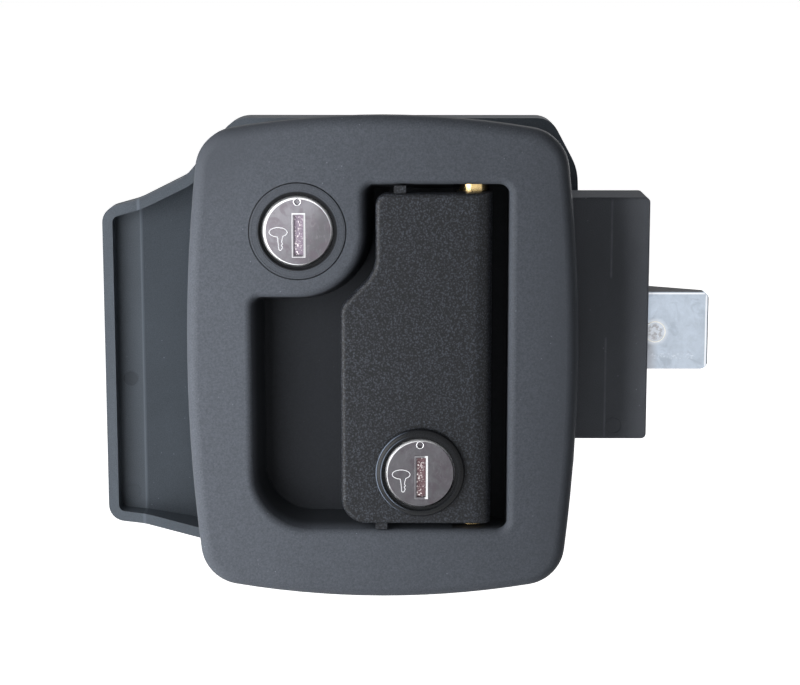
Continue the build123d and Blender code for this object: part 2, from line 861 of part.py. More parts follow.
# Deadbolt with its slotted tail
with BuildPart() as deadbolt:
    with BuildSketch(Plane.YZ.offset(dead_head)):
        with Locations((bolt_y, (dead_low + dead_top) / 2)):
            Rectangle(bolt_t, dead_top - dead_low)
    extrude(amount=dead_tip - dead_head)
    chamfer(deadbolt.faces().sort_by(Axis.X)[-1].edges(), length=dead_edge)
    pin_x = bolt_key_x - crank_dx
    half_slot = crank_pin_r + crank_gap
    slot_low = bolt_key_z - crank - half_slot
    tail_low = slot_low - dead_foot + crank_gap
    tail_end = pin_x - half_slot - dead_fork
    with BuildSketch(at(bolt_y + dead_plate_t / 2)):
        with Locations(((tail_end + dead_head) / 2, (dead_low + dead_tail_top) / 2)):
            Rectangle(dead_head - tail_end, dead_tail_top - dead_low)
        with Locations((pin_x, (tail_low + dead_tail_top) / 2)):
            Rectangle(2 * (half_slot + dead_fork), dead_tail_top - tail_low)
        with Locations((pin_x, (slot_low + dead_tail_top) / 2)):
            Rectangle(2 * half_slot, dead_tail_top - slot_low, mode=Mode.SUBTRACT)
    extrude(amount=dead_plate_t)

# Crank that drives the deadbolt
with BuildPart() as deadbolt_crank:
    with BuildSketch(at(crank_back)):
        with Locations((bolt_key_x, bolt_key_z)):
            Circle(hub_r)
        with Locations((bolt_key_x - crank_dx / 2, bolt_key_z - crank_dx / 2)):
            SlotCenterToCenter(crank, crank_w, rotation=45)
    extrude(amount=crank_back - crank_front)
    with BuildSketch(at(crank_back + dead_plate_t + crank_pin_over)):
        with Locations((bolt_key_x - crank_dx, bolt_key_z - crank_dx)):
            Circle(crank_pin_r)
    extrude(amount=dead_plate_t + crank_pin_over)
    with BuildSketch(at(crank_front)):
        with Locations((bolt_key_x, bolt_key_z)):
            Circle(hub_r)
    extrude(amount=crank_front - case_front)
    with BuildSketch(at(crank_back)):
        with Locations((bolt_key_x, bolt_key_z)):
            Rectangle(square + 2 * square_fit, square + 2 * square_fit)
    extrude(amount=crank_back - case_front, mode=Mode.SUBTRACT)


# Inside plate: a rounded body whose left side flares out into a low wing
def plate_outline(inset=0.0):
    with BuildSketch() as outline:
        with BuildLine():
            FilletPolyline(
                (corner_x, plate_top),
                (plate_left, plate_top),
                (flare_x, flare_top),
                (ridge_x, wing_top + ridge_rise),
                (wing_x, wing_top),
                (wing_x, wing_low),
                (ridge_x, wing_low - ridge_fall),
                (flare_low_x, plate_low),
                (corner_x, plate_low),
                (shoulder_x, shoulder_low),
                (plate_right, 0),
                (shoulder_x, shoulder_z),
                radius=(corner_r, knee_r, knee_r, flare_r, wing_corner_r, wing_corner_r, flare_r,
                        heel_r, corner_r, shoulder_r, side_r, shoulder_r),
                close=True,
            )
        make_face()
        if inset:
            offset(amount=-inset, mode=Mode.REPLACE)
    return outline.sketch_local


# Everything above the wing and its slope, lowered by a wall
def above_wing(drop=0.0):
    with BuildSketch() as slope:
        with BuildLine():
            Polyline(
                (wing_x - sink, door_t + wing_t - drop),
                (ridge_x, door_t + wing_t - drop),
                (ridge_end, plate_face - drop),
                (ridge_end, plate_face + sink),
                (wing_x - sink, plate_face + sink),
                close=True,
            )
        make_face()
    return slope.sketch_local


plate_span = plate_top - plate_low + 2 * sink

with BuildPart() as plate_void:
    with BuildSketch(at(plate_face - face_wall)):
        add(plate_outline(plate_wall))
    extrude(amount=plate_t - face_wall)
    with BuildSketch(Plane.XY.offset(plate_low - sink)):
        add(above_wing(face_wall))
    extrude(amount=plate_span, mode=Mode.SUBTRACT)

with BuildPart() as low_block:
    with BuildSketch(at(door_t + wing_t)):
        add(plate_outline())
    extrude(amount=wing_t)
    fillet(low_block.faces().sort_by(Axis.Y)[-1].edges(), radius=wing_soft_r)

with BuildPart() as interior_plate:
    with BuildSketch(at(plate_face)):
        add(plate_outline())
    extrude(amount=plate_t)
    fillet(interior_plate.faces().sort_by(Axis.Y)[-1].edges(), radius=plate_soft_r)
    with BuildSketch(Plane.XY.offset(plate_low - sink)):
        add(above_wing())
    extrude(amount=plate_span, mode=Mode.SUBTRACT)
    add(low_block.part)
    add(plate_void.part, mode=Mode.SUBTRACT)
    # Well for the lever, thumb turn boss and screw posts
    well_w, well_h = well_right - well_left, well_top - well_low
    well_at = ((well_left + well_right) / 2, (well_top + well_low) / 2)
    inner_face = plate_face - face_wall / 2
    with BuildSketch(at(inner_face)):
        with Locations(well_at):
            RectangleRounded(well_w + 2 * well_wall, well_h + 2 * well_wall, well_r + well_wall)
    extrude(amount=inner_face - well_floor + well_wall)
    with BuildSketch(at(inner_face)):
        with Locations(*post_at):
            Circle(screw_boss_r)
    extrude(amount=screw_boss_t)
    with BuildSketch(at(inner_face - screw_boss_t + sink)):
        with Locations(*post_at):
            Circle(post_sleeve_r)
    extrude(amount=inner_face - screw_boss_t + sink - post_end - seat_gap)
    with BuildSketch(at(inner_face)):
        with Locations((bolt_key_x, bolt_key_z)):
            Circle(knob_boss_r)
    extrude(amount=inner_face - clip_at - knob_clip_t - 2 * clip_gap)
    with BuildSketch(at(plate_face)):
        with Locations(well_at):
            RectangleRounded(well_w, well_h, well_r)
    extrude(amount=well_depth, mode=Mode.SUBTRACT)
    openings = interior_plate.faces().sort_by(Axis.Y)[-1].inner_wires()
    fillet(openings.sort_by(lambda wire: wire.length)[-1].edges(), radius=well_soft_r)
    with BuildSketch(at(plate_face)):
        with Locations(*post_at):
            Circle(mount_head_r + head_gap)
    extrude(amount=head_sink, mode=Mode.SUBTRACT)
    with BuildSketch(at(plate_face)):
        with Locations(*post_at):
            Circle(mount_hole_r)
        with Locations((bolt_key_x, bolt_key_z)):
            Circle(spindle_big + turn_fit)
    extrude(amount=plate_face - post_end, mode=Mode.SUBTRACT)
    with BuildSketch(at(well_floor)):
        add(arm_slot(lever_z, lever_y - well_floor + well_wall, lever_angle))
    extrude(amount=well_wall, mode=Mode.SUBTRACT)
    with BuildSketch(Plane.XY.offset(well_low - well_wall)):
        with Locations((hinge_x, lever_y)):
            Circle(lever_pin_r + press_fit)
    extrude(amount=well_h + 2 * well_wall, mode=Mode.SUBTRACT)

# Inside lever and its pin
with BuildPart() as interior_lever:
    lever_right = hinge_x + lever_barrel_r
    lever_far = lever_right + 2 * lever_soft_r
    lever_top, lever_low = well_top - lever_gap, well_low + lever_gap
    with BuildSketch(at(lever_front)):
        with BuildLine():
            FilletPolyline(
                (lever_left, lever_top),
                (lever_far, lever_top),
                (lever_far, lever_low),
                (lever_left, lever_low),
                radius=(lever_corner_r, 0.4, 0.4, lever_corner_r),
                close=True,
            )
        make_face()
    extrude(amount=lever_front - lever_y + lever_barrel_r + sink)
    fillet(interior_lever.faces().sort_by(Axis.Y)[-1].edges(), radius=lever_soft_r)
    with BuildSketch(Plane.XY.offset(lever_low)) as lever_section:
        with Locations(((lever_left + lever_right) / 2, lever_front - lever_t / 2)):
            Rectangle(lever_right - lever_left, lever_t)
        with Locations((hinge_x, (lever_front + lever_y) / 2)):
            Rectangle(2 * lever_barrel_r, lever_front - lever_y)
        with Locations((hinge_x, lever_y)):
            Circle(lever_barrel_r)
        corner = lever_section.vertices().sort_by_distance((lever_right, lever_front))[0]
        fillet(corner, radius=lever_roll_r)
    extrude(amount=lever_top - lever_low, mode=Mode.INTERSECT)
    with BuildSketch(Plane.XY.offset(lever_z - arm_t / 2)):
        with Locations((hinge_x, lever_y - lever_arm / 2)):
            Rectangle(2 * nose_r, lever_arm)
        with Locations((hinge_x, lever_nose_y)):
            Circle(nose_r)
    extrude(amount=arm_t)
    with BuildSketch(Plane.XY.offset(well_low)):
        with Locations((hinge_x, lever_y)):
            Circle(lever_pin_r + turn_fit)
    extrude(amount=well_h, mode=Mode.SUBTRACT)

with BuildPart() as lever_pin:
    with BuildSketch(Plane.XY.offset(well_low - well_wall)):
        with Locations((hinge_x, lever_y)):
            Circle(lever_pin_r)
    extrude(amount=well_h + 2 * well_wall)
    chamfer(lever_pin.edges().filter_by(GeomType.CIRCLE), length=pin_end_c)

# Thumb turn with its spindle and clip
with BuildPart() as thumb_turn:
    knob_seat = plate_face + knob_gap
    step_y = plate_face - spindle_step
    with BuildSketch(at(knob_seat + knob_t)):
        with Locations((bolt_key_x, bolt_key_z)):
            Circle(knob_r)
    extrude(amount=knob_t)
    fillet(thumb_turn.edges().filter_by(GeomType.CIRCLE).sort_by(Axis.Y)[-1], radius=knob_soft_r)
    with BuildSketch(at(knob_seat + knob_t + grip_h)):
        with Locations((bolt_key_x, bolt_key_z)):
            SlotOverall(grip_w, grip_t, rotation=90)
    extrude(amount=grip_h)
    fillet(thumb_turn.faces().sort_by(Axis.Y)[-1].edges(), radius=grip_soft_r)
    with BuildSketch(at(knob_seat)):
        with Locations((bolt_key_x, bolt_key_z)):
            Circle(spindle_big)
    extrude(amount=knob_seat - step_y)
    with BuildSketch(at(clip_at + knob_clip_t + 2 * clip_gap)):
        with Locations((bolt_key_x, bolt_key_z)):
            Circle(spindle_big)
            Circle(spindle_big - clip_grip, mode=Mode.SUBTRACT)
    extrude(amount=knob_clip_t + 2 * clip_gap, mode=Mode.SUBTRACT)
    with BuildSketch(at(step_y)):
        with Locations((bolt_key_x, bolt_key_z)):
            Circle(spindle_r)
    extrude(amount=step_y - crank_back - seat_gap)
    with BuildSketch(at(crank_back + seat_gap + sink)):
        with Locations((bolt_key_x, bolt_key_z)):
            Rectangle(square, square)
    extrude(amount=crank_back + seat_gap + sink - bar_end - seat_gap)

thumb_turn_clip = horseshoe(
    bolt_key_x, bolt_key_z, spindle_big - clip_grip + clip_gap, knob_clip_r,
    clip_at + clip_gap, knob_clip_t,
)

pieces = {
    "exterior_bezel": exterior_bezel,
    "bezel_gasket": bezel_gasket,
    "pull_handle": pull_handle,
    "handle_pin": handle_pin,
    "pin_bushes": pin_bushes,
    "handle_lock_sleeve": handle_lock_sleeve,
    "handle_lock_plug": handle_lock_plug,
    "handle_lock_shutter": handle_lock_shutter,
    "handle_lock_clip": handle_lock_clip,
    "handle_lock_cam": handle_lock_cam,
    "cam_screw": cam_screw,
    "deadbolt_lock_sleeve": deadbolt_lock_sleeve,
    "deadbolt_lock_plug": deadbolt_lock_plug,
    "deadbolt_lock_shutter": deadbolt_lock_shutter,
    "deadbolt_lock_clip": deadbolt_lock_clip,
    "deadbolt_tailpiece": deadbolt_tailpiece,
    "latch_case": latch_case,
    "case_cover": case_cover,
    "cover_screws": cover_screws,
    "case_screws": case_screws,
    "mounting_screws": mounting_screws,
    "latch_bolt": latch_bolt,
    "latch_spring": latch_spring,
    "deadbolt": deadbolt,
    "deadbolt_crank": deadbolt_crank,
    "interior_plate": interior_plate,
    "interior_lever": interior_lever,
    "lever_pin": lever_pin,
    "thumb_turn": thumb_turn,
    "thumb_turn_clip": thumb_turn_clip,
}
for name, piece in pieces.items():
    piece.part.label = name
    export_step(piece.part, "parts/" + name + ".step")
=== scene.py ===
"""Door latch: finishes, fine details, camera and light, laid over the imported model."""

import math

import bmesh
import bpy
from mathutils import Matrix, Vector


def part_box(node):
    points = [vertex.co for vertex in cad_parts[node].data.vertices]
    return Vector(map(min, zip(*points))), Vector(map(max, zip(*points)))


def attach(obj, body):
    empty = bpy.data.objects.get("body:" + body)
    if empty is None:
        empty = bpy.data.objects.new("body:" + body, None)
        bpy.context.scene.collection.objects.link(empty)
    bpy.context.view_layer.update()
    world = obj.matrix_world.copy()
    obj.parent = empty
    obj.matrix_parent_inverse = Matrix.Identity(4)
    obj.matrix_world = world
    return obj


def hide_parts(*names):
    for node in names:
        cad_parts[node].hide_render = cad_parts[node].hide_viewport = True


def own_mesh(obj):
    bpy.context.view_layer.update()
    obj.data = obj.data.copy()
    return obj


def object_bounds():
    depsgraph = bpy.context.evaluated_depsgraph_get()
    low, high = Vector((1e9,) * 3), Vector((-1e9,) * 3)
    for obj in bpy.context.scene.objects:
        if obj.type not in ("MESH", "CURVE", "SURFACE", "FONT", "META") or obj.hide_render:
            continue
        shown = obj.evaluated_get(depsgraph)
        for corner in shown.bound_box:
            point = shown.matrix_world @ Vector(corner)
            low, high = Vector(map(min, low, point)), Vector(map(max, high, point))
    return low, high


bl_info = {
    "name": "Door latch details",
    "version": (1, 0, 0),
    "blender": (4, 5, 0),
    "location": "3D View > Sidebar > Door latch",
    "description": "Finishes, lock faces, screws and moulding marks of a flush door latch",
    "category": "Object",
}

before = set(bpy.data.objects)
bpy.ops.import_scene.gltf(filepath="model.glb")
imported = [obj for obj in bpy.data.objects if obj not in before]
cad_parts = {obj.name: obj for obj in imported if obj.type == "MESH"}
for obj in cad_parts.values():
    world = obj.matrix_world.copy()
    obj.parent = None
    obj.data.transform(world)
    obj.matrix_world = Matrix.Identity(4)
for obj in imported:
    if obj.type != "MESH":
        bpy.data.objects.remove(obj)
cad_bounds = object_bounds()
MM = 0.001


def low(node):
    """Lowest corner of a CAD node, in metres."""
    return Vector(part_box(node)[0])


def high(node):
    """Highest corner of a CAD node, in metres."""
    return Vector(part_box(node)[1])


def middle(node):
    """Centre of a CAD node's box, in metres."""
    return (low(node) + high(node)) / 2


# Shader maths


class Field:
    """A socket that can be used in Python expressions, each of which adds its Math nodes."""

    def __init__(self, finish, socket):
        self.finish, self.socket = finish, socket

    def math(self, operation, first, second=0.0):
        return self.finish.add("ShaderNodeMath", {"operation": operation}, {0: first, 1: second})

    def __add__(self, other):
        return self.math("ADD", self, other)

    def __radd__(self, other):
        return self.math("ADD", other, self)

    def __sub__(self, other):
        return self.math("SUBTRACT", self, other)

    def __rsub__(self, other):
        return self.math("SUBTRACT", other, self)

    def __mul__(self, other):
        return self.math("MULTIPLY", self, other)

    def __rmul__(self, other):
        return self.math("MULTIPLY", other, self)

    def __pow__(self, other):
        return self.math("POWER", self, other)

    def __lt__(self, other):
        return self.math("LESS_THAN", self, other)

    def __abs__(self):
        return self.math("ABSOLUTE", self)

    def most(self, other):
        """The greater of two fields."""
        return self.math("MAXIMUM", self, other)


class Finish:
    """One material, made of a Principled shader and the nodes that feed it."""

    def __init__(self, name):
        self.material = bpy.data.materials.new(name)
        self.material.use_nodes = True
        self.tree = self.material.node_tree
        self.shader = self.tree.nodes["Principled BSDF"]
        self.base = None

    def add(self, kind, settings=None, inputs=None, out=0):
        """Adds a node of any kind: its settings first, then the values or links of its sockets."""
        node = self.tree.nodes.new(kind)
        for name, value in (settings or {}).items():
            setattr(node, name, value)
        for name, value in (inputs or {}).items():
            self.feed(node.inputs[name], value)
        return Field(self, node.outputs[out])

    def feed(self, socket, value):
        """Links a field to a socket, or sets the socket's own value."""
        if isinstance(value, Field):
            self.tree.links.new(value.socket, socket)
        else:
            socket.default_value = value

    def set(self, **inputs):
        """Feeds the Principled shader; underscores in a name stand for spaces."""
        for name, value in inputs.items():
            self.feed(self.shader.inputs[name.replace("_", " ")], value)

    def place(self):
        """Object coordinates."""
        return self.add("ShaderNodeTexCoord", out="Object")

    def axis(self, letter):
        """One of the object coordinates, in metres."""
        return self.add("ShaderNodeSeparateXYZ", {}, {0: self.place()}, out=letter)

    def noise(self, size, detail, rough, stretch=(1, 1, 1), warp=0.0):
        """Noise from 0 to 1 whose spots are about size metres across."""
        spot = self.add(
            "ShaderNodeMapping", {}, {"Vector": self.place(), "Scale": [1 / s for s in stretch]}
        )
        return self.add(
            "ShaderNodeTexNoise",
            {},
            {"Vector": spot, "Scale": 1 / size, "Detail": detail, "Roughness": rough,
             "Distortion": warp},
        )

    def cells(self, size, feature="F1"):
        """Distance to the nearest of points that lie about size metres apart, from 0 to 1."""
        return self.add(
            "ShaderNodeTexVoronoi",
            {"feature": feature},
            {"Vector": self.place(), "Scale": 1 / size},
        )

    def ramp(self, value, start, end, low_value=0.0, high_value=1.0):
        """Runs from low_value to high_value, smoothly, as value goes from start to end."""
        return self.add(
            "ShaderNodeMapRange",
            {"interpolation_type": "SMOOTHSTEP"},
            {"Value": value, "From Min": start, "From Max": end, "To Min": low_value,
             "To Max": high_value},
        )

    def band(self, letter, start, end, soft):
        """A mask that is 1 from start to end along an axis, with soft sides."""
        value = self.axis(letter)
        rise = self.ramp(value, start - soft, start)
        return rise * self.ramp(value, end, end + soft, 1.0, 0.0)

    def radius(self, x, z):
        """Distance from a line along the door's thickness, in metres."""
        across, up = self.axis("X") - x, self.axis("Z") - z
        return (across * across + up * up) ** 0.5

    def blend(self, factor, first, second):
        """Mixes two colours."""
        return self.add(
            "ShaderNodeMix",
            {"data_type": "RGBA"},
            {0: factor, 6: solid(first), 7: solid(second)},
            out=2,
        )

    def scale(self, colour, tone):
        """A colour made darker or lighter by a field."""
        return self.add(
            "ShaderNodeVectorMath", {"operation": "SCALE"}, {"Vector": colour, "Scale": tone}
        )

    def colour(self, base):
        """Sets the base colour and keeps it, so that more can be painted over it."""
        self.base = base
        self.set(Base_Color=base)

    def paint(self, colour, mask):
        """Lays a colour over the base colour where the mask is above 0."""
        self.colour(self.blend(mask, self.base, colour))

    def relief(self, height, depth):
        """Bump of the given depth in metres."""
        return self.add("ShaderNodeBump", {}, {"Height": height, "Distance": depth})


def solid(colour):
    """A colour with full alpha; a field passes through."""
    return colour if isinstance(colour, Field) else (*colour[:3], 1.0)


def shade(colour, factor):
    """The colour made darker or lighter by a factor."""
    return tuple(min(1.0, channel * factor) for channel in colour[:3])


# Finishes


def moulded(name, colour, roughness, grain, depth, streak, specular, dust=0.6):
    """Satin moulded plastic: fine grain, faint flow streaks, a few pale specks of dust."""
    finish = Finish(name)
    cloud = finish.noise(14 * MM, 3.0, 0.6, stretch=(1, 1, 2.2), warp=0.4)
    fine = finish.noise(grain, 3.0, 0.65)
    tone = 1.0 - streak / 2 + streak * cloud + 1.1 * (fine - 0.5)
    finish.colour(finish.scale(colour[:3], tone))
    speck = finish.ramp(finish.cells(2.7 * MM), 0.035, 0.075, 1.0, 0.0)
    dusty = finish.ramp(cloud, 0.42, 0.62, 0.15, 1.0)
    finish.paint(shade(colour, 3.2), speck * dusty * dust)
    finish.set(
        Roughness=roughness + 0.10 * (cloud - 0.5) + 0.14 * (fine - 0.5),
        Specular_IOR_Level=specular,
        Normal=finish.relief(fine, depth),
    )
    return finish


def grained(name, colour, roughness, grain, depth):
    """Coarse pebbled grain, whose tops shine more than its valleys and carry a painted highlight:
    a paler colour.
    """
    finish = Finish(name)
    pebble = finish.cells(grain, "SMOOTH_F1")
    ripple = finish.noise(grain * 0.8, 2.0, 0.6)
    height = (1.0 - pebble) * 0.55 + ripple * 0.75
    cloud = finish.noise(18 * MM, 2.0, 0.5)
    top = finish.ramp(height, 0.62, 0.95)
    # The pebble tops are painted paler, a painted highlight
    finish.colour(finish.scale(colour[:3], (0.8 + 0.25 * cloud) * (0.28 + 2.1 * top)))
    finish.set(
        Roughness=roughness + 0.2 * (0.6 - top),
        Specular_IOR_Level=0.25,
        Normal=finish.relief(height, depth),
    )
    return finish


def plated(name, colour, roughness, mottle, grain=0.25 * MM, depth=0.01 * MM, cloud_size=2.6 * MM):
    """Plated or cast metal with soft mottling and fine pitting."""
    finish = Finish(name)
    cloud = finish.noise(cloud_size, 4.0, 0.6, warp=0.6)
    fine = finish.noise(grain, 2.0, 0.6)
    tone = 1.0 - mottle / 2 + mottle * cloud + 0.12 * (fine - 0.5)
    finish.colour(finish.scale(colour[:3], tone))
    finish.set(
        Metallic=1.0,
        Roughness=roughness + 0.18 * (cloud - 0.5) + 0.08 * (fine - 0.5),
        Normal=finish.relief(fine, depth),
    )
    return finish


def foam(name, colour):
    """Closed-cell foam with open pores, which are painted darker as painted shade."""
    finish = Finish(name)
    pores = finish.cells(0.55 * MM)
    open_pores = finish.ramp(pores, 0.1, 0.5)
    # Painted shade in the pores, paler between them
    finish.colour(finish.blend(open_pores, shade(colour, 0.5), shade(colour, 1.5)))
    finish.set(
        Roughness=0.92,
        Specular_IOR_Level=0.25,
        Normal=finish.relief(pores, 0.12 * MM),
    )
    return finish


# Mesh helpers


def piece(name, mesh_data, finish, body, replaced=()):
    """Makes an object at the origin from a bmesh and hands it to the frame."""
    bmesh.ops.remove_doubles(mesh_data, verts=mesh_data.verts, dist=0.0005 * MM)
    bmesh.ops.recalc_face_normals(mesh_data, faces=mesh_data.faces)
    mesh = bpy.data.meshes.new(name)
    mesh_data.to_mesh(mesh)
    mesh_data.free()
    for polygon in mesh.polygons:
        polygon.use_smooth = True
    mesh.set_sharp_from_angle(angle=math.radians(35))
    mesh.materials.append(finish.material)
    item = bpy.data.objects.new(name, mesh)
    bpy.context.scene.collection.objects.link(item)
    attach(item, body)
    if replaced:
        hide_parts(*replaced)
    return item


def dress(finish, *nodes):
    """Gives CAD nodes a finish."""
    for node in nodes:
        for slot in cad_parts[node].material_slots:
            slot.material = finish.material


def facing_front(x, y, z):
    """Turns a shape drawn in millimetres in X and Y so that it faces the front, at a place."""
    return (
        Matrix.Translation((x, y, z)) @ Matrix.Rotation(math.radians(90), 4, "X")
        @ Matrix.Scale(MM, 4)
    )


def facing_back(x, y, z):
    """Turns a shape drawn in millimetres along Z so that it faces the back, at a place."""
    return (
        Matrix.Translation((x, y, z)) @ Matrix.Rotation(math.radians(-90), 4, "X")
        @ Matrix.Scale(MM, 4)
    )


def join(whole, part, matrix):
    """Adds one bmesh to another, moved by the matrix, and frees it."""
    bmesh.ops.transform(part, matrix=matrix, verts=part.verts)
    passing = bpy.data.meshes.new("passing")
    part.to_mesh(passing)
    part.free()
    whole.from_mesh(passing)
    bpy.data.meshes.remove(passing)


def turn(mesh_data, profile, segments=32):
    """Spins a profile of (radius, height) points about the Z axis."""
    points = [mesh_data.verts.new((radius, 0, height)) for radius, height in profile]
    edges = [mesh_data.edges.new(pair) for pair in zip(points, points[1:])]
    bmesh.ops.spin(
        mesh_data, geom=points + edges, cent=(0, 0, 0), axis=(0, 0, 1), angle=math.tau,
        steps=segments, use_merge=True
    )


def wind(part, section, turns, pitch, steps):
    """Sweeps a section along a helix about the Z axis, with so many steps to a turn."""
    bmesh.ops.spin(
        part, geom=section, cent=(0, 0, 0), axis=(0, 0, 1), dvec=(0, 0, pitch / steps),
        angle=turns * math.tau, steps=turns * steps
    )


def bead(whole, radius, thickness, matrix, segments=48):
    """Adds a round bead about an axis: a small circle spun right round."""
    part = bmesh.new()
    turn_points = bmesh.ops.create_circle(
        part, cap_ends=False, radius=thickness, segments=10,
        matrix=Matrix.Translation((radius, 0, 0)) @ Matrix.Rotation(math.radians(90), 4, "X")
    )["verts"]
    edges = list({edge for vert in turn_points for edge in vert.link_edges})
    bmesh.ops.spin(
        part, geom=turn_points + edges, cent=(0, 0, 0), axis=(0, 0, 1), angle=math.tau,
        steps=segments, use_merge=True
    )
    join(whole, part, matrix)


def outline_band(whole, corners, width, height, matrix):
    """Adds a flat raised band along a closed outline drawn in X and Y."""
    part = bmesh.new()
    part.faces.new([part.verts.new((x, y, 0)) for x, y in corners])
    part.normal_update()
    inside = part.faces[:]
    bmesh.ops.inset_region(
        part, faces=inside, thickness=width, use_boundary=True, use_even_offset=True
    )
    bmesh.ops.delete(part, geom=inside, context="FACES")
    raised = bmesh.ops.extrude_face_region(part, geom=part.faces[:])["geom"]
    tops = [item for item in raised if isinstance(item, bmesh.types.BMVert)]
    bmesh.ops.translate(part, verts=tops, vec=(0, 0, height))
    join(whole, part, matrix)


def cross_recess(part, rim_radius, height, depth):
    """Closes the middle of a screw head with a tapered cross recess."""
    arm, reach = rim_radius * 0.24, rim_radius * 0.92
    rim = bmesh.ops.create_circle(
        part, cap_ends=False, radius=rim_radius, segments=32,
        matrix=Matrix.Translation((0, 0, height))
    )["verts"]
    corners = []
    for quarter in range(4):
        spin = Matrix.Rotation(quarter * math.tau / 4, 4, "Z")
        for x, y in ((reach, -arm), (reach, arm), (arm, arm)):
            corners.append(part.verts.new(spin @ Vector((x, y, height))))
    cross = [part.edges.new((a, b)) for a, b in zip(corners, corners[1:] + corners[:1])]
    rim_edges = list({edge for vert in rim for edge in vert.link_edges})
    bmesh.ops.triangle_fill(part, use_beauty=True, use_dissolve=False, edges=rim_edges + cross)
    walls = bmesh.ops.extrude_edge_only(part, edges=cross)["geom"]
    floor = [item for item in walls if isinstance(item, bmesh.types.BMVert)]
    bmesh.ops.translate(part, verts=floor, vec=(0, 0, -depth))
    bmesh.ops.scale(part, verts=floor, vec=(0.55, 0.55, 1))
    bottom = [item for item in walls if isinstance(item, bmesh.types.BMEdge)]
    bottom = [edge for edge in bottom if all(vert in floor for vert in edge.verts)]
    bmesh.ops.holes_fill(part, edges=bottom, sides=0)


def screw(whole, head_radius, head_height, shank_radius, length, threaded, pitch, matrix):
    """Adds a pan head screw with a cross recess and a real helical thread."""
    part = bmesh.new()
    rim = head_radius * 0.62
    turn(part, (
        (rim, head_height), (head_radius * 0.78, head_height * 0.95),
        (head_radius * 0.91, head_height * 0.8), (head_radius * 0.98, head_height * 0.55),
        (head_radius, head_height * 0.3), (head_radius, 0.06), (head_radius - 0.06, 0),
        (shank_radius * 0.9, 0),
    ))
    cross_recess(part, rim, head_height, head_height * 0.72)
    core = shank_radius - 0.55 * pitch
    plain_end = threaded - length
    turn(part, (
        (shank_radius * 0.9, 0), (shank_radius * 0.9, plain_end),
        (core, plain_end - 0.3), (core, 0.6 - length), (core * 0.55, -length), (0, -length),
    ), 24)
    turns = math.floor((threaded - 1.2) / pitch)
    start, root = plain_end - 0.3, core * 0.97
    ridge = part.faces.new([part.verts.new(point) for point in (
        (root, 0, start), (shank_radius, 0, start - pitch * 0.4), (root, 0, start - pitch * 0.8),
    )])
    wind(part, [*ridge.verts, *ridge.edges, ridge], turns, -pitch, 14)
    join(whole, part, matrix)


# Sizes and colours that a user would change


class LatchSizes(bpy.types.PropertyGroup):
    """Sizes of the fine details."""

    symbol_line: bpy.props.FloatProperty(
        name="Symbol line", description="Width of the raised line of the key symbols",
        default=0.17 * MM, min=0.05 * MM, unit="LENGTH")
    symbol_height: bpy.props.FloatProperty(
        name="Symbol height", description="Height of the raised key symbols",
        default=0.09 * MM, min=0.02 * MM, unit="LENGTH")
    mark_radius: bpy.props.FloatProperty(
        name="Ejector mark", description="Radius of the round marks left by ejector pins",
        default=2.0 * MM, min=0.5 * MM, unit="LENGTH")
    bolt_mark_radius: bpy.props.FloatProperty(
        name="Bolt mark", description="Radius of the round mark on the latch bolt",
        default=2.6 * MM, min=0.5 * MM, unit="LENGTH")
    thread_pitch: bpy.props.FloatProperty(
        name="Thread pitch", description="Pitch of the screws' threads",
        default=0.8 * MM, min=0.3 * MM, unit="LENGTH")
    grain: bpy.props.FloatProperty(
        name="Handle grain", description="Size of the pull handle's pebbles",
        default=0.46 * MM, min=0.1 * MM, unit="LENGTH")


def colour_property(name, description, default):
    """A colour that the panel can change."""
    return bpy.props.FloatVectorProperty(
        name=name, description=description, subtype="COLOR", size=3, min=0, max=1, default=default)


class LatchColours(bpy.types.PropertyGroup):
    """Colours of the finishes. The case's is paler than its plastic, for the bezel shades it."""

    bezel: colour_property("Bezel", "Exterior bezel", (0.072, 0.080, 0.095))
    handle: colour_property("Handle", "Pull handle", (0.0215, 0.0245, 0.031))
    interior: colour_property(
        "Inside plate", "Inside plate, lever and thumb turn", (0.055, 0.065, 0.078))
    case: colour_property("Case", "Latch case and cover", (0.17, 0.182, 0.206))
    gasket: colour_property("Gasket", "Foam gasket", (0.03, 0.03, 0.03))
    collar: colour_property("Collar", "Body of the handle lock", (0.010, 0.011, 0.013))
    plug: colour_property("Lock faces", "Turning plugs", (0.22, 0.215, 0.235))
    zinc: colour_property("Bolts", "Latch bolt and deadbolt", (0.47, 0.53, 0.61))
    steel: colour_property("Steel", "Screws, pins, clips and spring", (0.5, 0.51, 0.53))
    brass: colour_property("Brass", "Handle bushes", (0.72, 0.53, 0.25))


def sizes():
    return bpy.context.scene.latch_sizes


def colours():
    return bpy.context.scene.latch_colours


# Pieces


class LATCH_OT_bezel(bpy.types.Operator):
    """Finish the exterior bezel and its gasket"""

    bl_idname = "latch.bezel"
    bl_label = "Bezel and gasket"

    def execute(self, context):
        satin = moulded(
            "bezel satin", colours().bezel, roughness=0.62, grain=0.42 * MM, depth=0.04 * MM,
            streak=0.14, specular=0.1)
        # Part of the pocket's shade is painted in, because the lamps alone leave it too pale
        sunk = satin.ramp(satin.axis("Y"), -5.5 * MM, 0.0, 0.0, 0.85)
        satin.paint(shade(colours().bezel, 0.14), sunk)
        # So is part of the fall of the light on the right rail and the upper left corner
        across, up = satin.axis("X"), satin.axis("Z")
        shaded_rail = satin.ramp(across, 34 * MM, 50 * MM, 0.0, 0.8)
        corner = satin.ramp(up - across, 70 * MM, 100 * MM, 0.0, 0.8)
        satin.paint(shade(colours().bezel, 0.75), shaded_rail.most(corner))
        dress(satin, "exterior_bezel")
        dress(foam("gasket foam", colours().gasket), "bezel_gasket")
        return {"FINISHED"}


